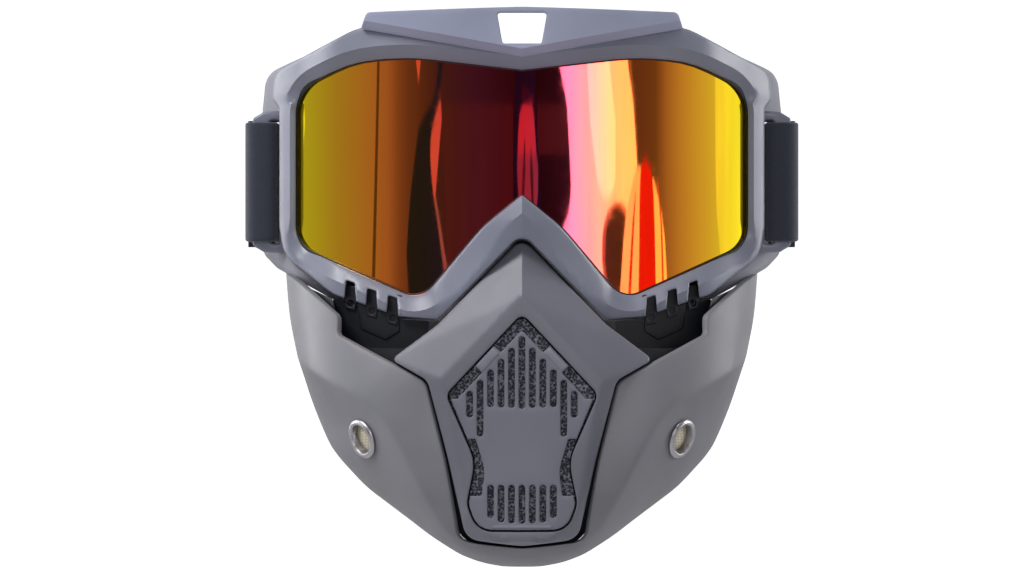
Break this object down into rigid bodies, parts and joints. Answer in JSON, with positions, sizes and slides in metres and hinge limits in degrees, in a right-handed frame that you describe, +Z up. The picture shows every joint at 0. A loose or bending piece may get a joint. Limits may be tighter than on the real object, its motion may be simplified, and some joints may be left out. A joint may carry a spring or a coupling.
{
  "type": "motorcycle goggles with detachable face mask",
  "caption": "Motorcycle goggles with a wide curved mirror lens, elastic head strap and a detachable hard face mask with a vented nose and mouth grille.",
  "frame": {"origin": "centre of the face seal at eye level, where the foam meets the wearer between the brows", "axes": "+X to the right as seen from the front, +Y from the lens back towards the wearer's head, +Z up"},
  "size_m": [0.1872, 0.249, 0.183],
  "materials": {
    "frame_plastic": "satin grey moulded plastic",
    "plate_plastic": "satin lighter blue-grey moulded plastic",
    "lens_mirror": "polished lens with an amber to red mirror coating",
    "gasket_rubber": "matte black",
    "skirt_rubber": "soft matte light grey",
    "foam_black": "open-cell foam with a fleece face",
    "strap_elastic": "dark blue-grey woven elastic",
    "adjuster_plastic": "satin black",
    "mask_plastic": "satin grey moulded plastic",
    "panel_plastic": "satin darker grey moulded plastic",
    "carrier_plastic": "satin black moulded plastic",
    "pad_foam": "closed-cell foam",
    "eyelet_metal": "bright nickel plate",
    "gauze_metal": "fine woven wire, dull warm grey",
    "grille_plastic": "satin grey moulded plastic",
    "filter_foam": "coarse open-cell filter foam"
  },
  "bodies": {
    "goggles": {"outer_frame": "frame_plastic", "brow_plate": "plate_plastic", "lens": "lens_mirror", "lens_gasket": "gasket_rubber", "face_skirt": "skirt_rubber", "face_foam": "foam_black", "vent_foam": "foam_black", "strap": "strap_elastic"},
    "mask": {"mask_shell": "mask_plastic", "nose_panel": "panel_plastic", "inner_carrier": "carrier_plastic", "nose_pad": "pad_foam", "filter_cover": "carrier_plastic", "eyelet_left": "eyelet_metal", "eyelet_right": "eyelet_metal", "eyelet_washer_left": "eyelet_metal", "eyelet_washer_right": "eyelet_metal", "eyelet_gauze_left": "gauze_metal", "eyelet_gauze_right": "gauze_metal"},
    "grille": {"vent_grille": "grille_plastic", "filter_foam": "filter_foam"},
    "adjuster_left": {"strap_adjuster_left": "adjuster_plastic"},
    "adjuster_right": {"strap_adjuster_right": "adjuster_plastic"}
  },
  "joints": [
    {"name": "mask_release", "type": "slide", "parent": "goggles", "child": "mask", "axis": [0, 0, -1], "range_m": [0, 0.04]},
    {"name": "grille_release", "type": "slide", "parent": "mask", "child": "grille", "axis": [0, -1, 0], "range_m": [0, 0.012]},
    {"name": "adjuster_left_slide", "type": "slide", "parent": "goggles", "child": "adjuster_left", "axis": [0, 1, 0], "range_m": [-0.003, 0.014]},
    {"name": "adjuster_right_slide", "type": "slide", "parent": "goggles", "child": "adjuster_right", "axis": [0, 1, 0], "range_m": [-0.003, 0.014]}
  ]
}
